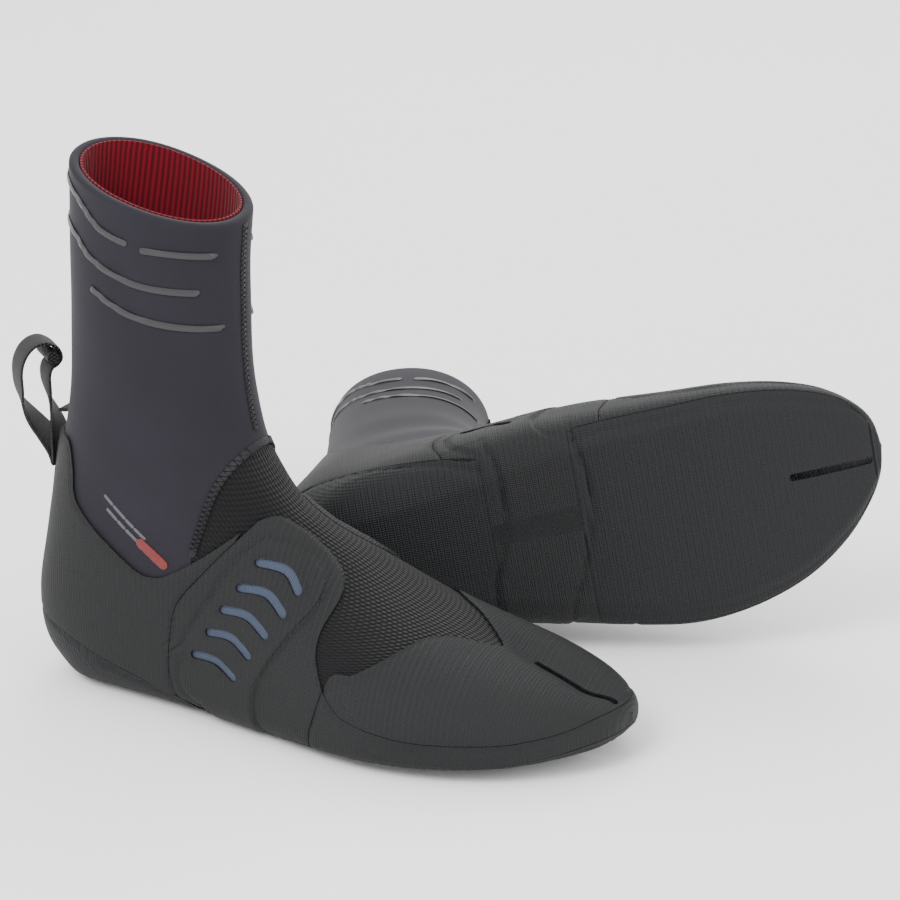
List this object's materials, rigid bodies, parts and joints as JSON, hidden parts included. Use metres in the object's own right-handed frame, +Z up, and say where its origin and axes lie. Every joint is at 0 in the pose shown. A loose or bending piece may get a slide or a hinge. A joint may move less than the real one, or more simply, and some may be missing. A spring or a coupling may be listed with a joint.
{
  "type": "neoprene water boots",
  "caption": "Pair of split-toe neoprene water boots with rubber soles, slotted arch wraps, tall cuffs and heel pull loops.",
  "frame": {"origin": "centre of the pair's box on the floor", "axes": "+Z up; the right boot's toe points towards +X and -Y, the lying boot's toe towards +X"},
  "size_m": [0.412, 0.407, 0.2557],
  "materials": {
    "neoprene": "smooth jersey-faced neoprene, matte",
    "mesh_knit": "diamond knit faced neoprene",
    "rubber": "textured liquid rubber, satin",
    "lining": "ribbed thermal fleece",
    "inlay": "woven inlay",
    "bar": "bonded satin print",
    "webbing": "woven polyester tape",
    "badge": "raised rubber print",
    "thread": "taped and stitched seam"
  },
  "bodies": {
    "right_boot": {"right_shaft_panel": "neoprene", "right_instep_panel": "mesh_knit", "right_toe_box": "neoprene", "right_foot_bed": "neoprene", "right_shaft_lining": "lining", "right_foot_lining": "lining", "right_toe_split_wall": "rubber", "right_heel_cup": "rubber", "right_rand": "rubber", "right_toe_cap": "rubber", "right_outsole_heel": "rubber", "right_outsole_forefoot": "rubber", "right_saddle_wrap": "rubber", "right_slot_inlay_lateral": "inlay", "right_slot_inlay_medial": "inlay", "right_instep_seam": "thread", "right_front_seam": "thread", "right_cuff_bar_back": "bar", "right_cuff_bar_middle": "bar", "right_cuff_bar_high_lateral": "bar", "right_cuff_bar_high_medial": "bar", "right_cuff_bar_low_lateral": "bar", "right_cuff_bar_low_medial": "bar", "right_side_badge": "badge", "right_back_stay": "rubber", "right_loop_anchor": "webbing"},
    "right_loop": {"right_pull_loop": "webbing", "right_pull_loop_grip": "webbing"},
    "left_boot": {"left_shaft_panel": "neoprene", "left_instep_panel": "mesh_knit", "left_toe_box": "neoprene", "left_foot_bed": "neoprene", "left_shaft_lining": "lining", "left_foot_lining": "lining", "left_toe_split_wall": "rubber", "left_heel_cup": "rubber", "left_rand": "rubber", "left_toe_cap": "rubber", "left_outsole_heel": "rubber", "left_outsole_forefoot": "rubber", "left_saddle_wrap": "rubber", "left_slot_inlay_lateral": "inlay", "left_slot_inlay_medial": "inlay", "left_instep_seam": "thread", "left_front_seam": "thread", "left_cuff_bar_back": "bar", "left_cuff_bar_middle": "bar", "left_cuff_bar_high_lateral": "bar", "left_cuff_bar_high_medial": "bar", "left_cuff_bar_low_lateral": "bar", "left_cuff_bar_low_medial": "bar", "left_side_badge": "badge", "left_back_stay": "rubber", "left_loop_anchor": "webbing"},
    "left_loop": {"left_pull_loop": "webbing", "left_pull_loop_grip": "webbing"}
  },
  "joints": [
    {"name": "left_boot_lift", "type": "slide", "parent": "right_boot", "child": "left_boot", "axis": [0, 0, 1], "range_m": [0, 0.3]},
    {"name": "right_loop_swing", "type": "hinge", "parent": "right_boot", "child": "right_loop", "pos_m": [-0.1843, -0.04739, 0.1023], "axis": [0.4726, 0.8813, 0], "range_deg": [-30, 0], "stiffness_Nm_per_rad": 0.02},
    {"name": "left_loop_swing", "type": "hinge", "parent": "left_boot", "child": "left_loop", "pos_m": [-0.07565, 0.04959, 0.03213], "axis": [0.179, -0.0693, -0.9814], "range_deg": [-30, 0], "stiffness_Nm_per_rad": 0.02}
  ]
}
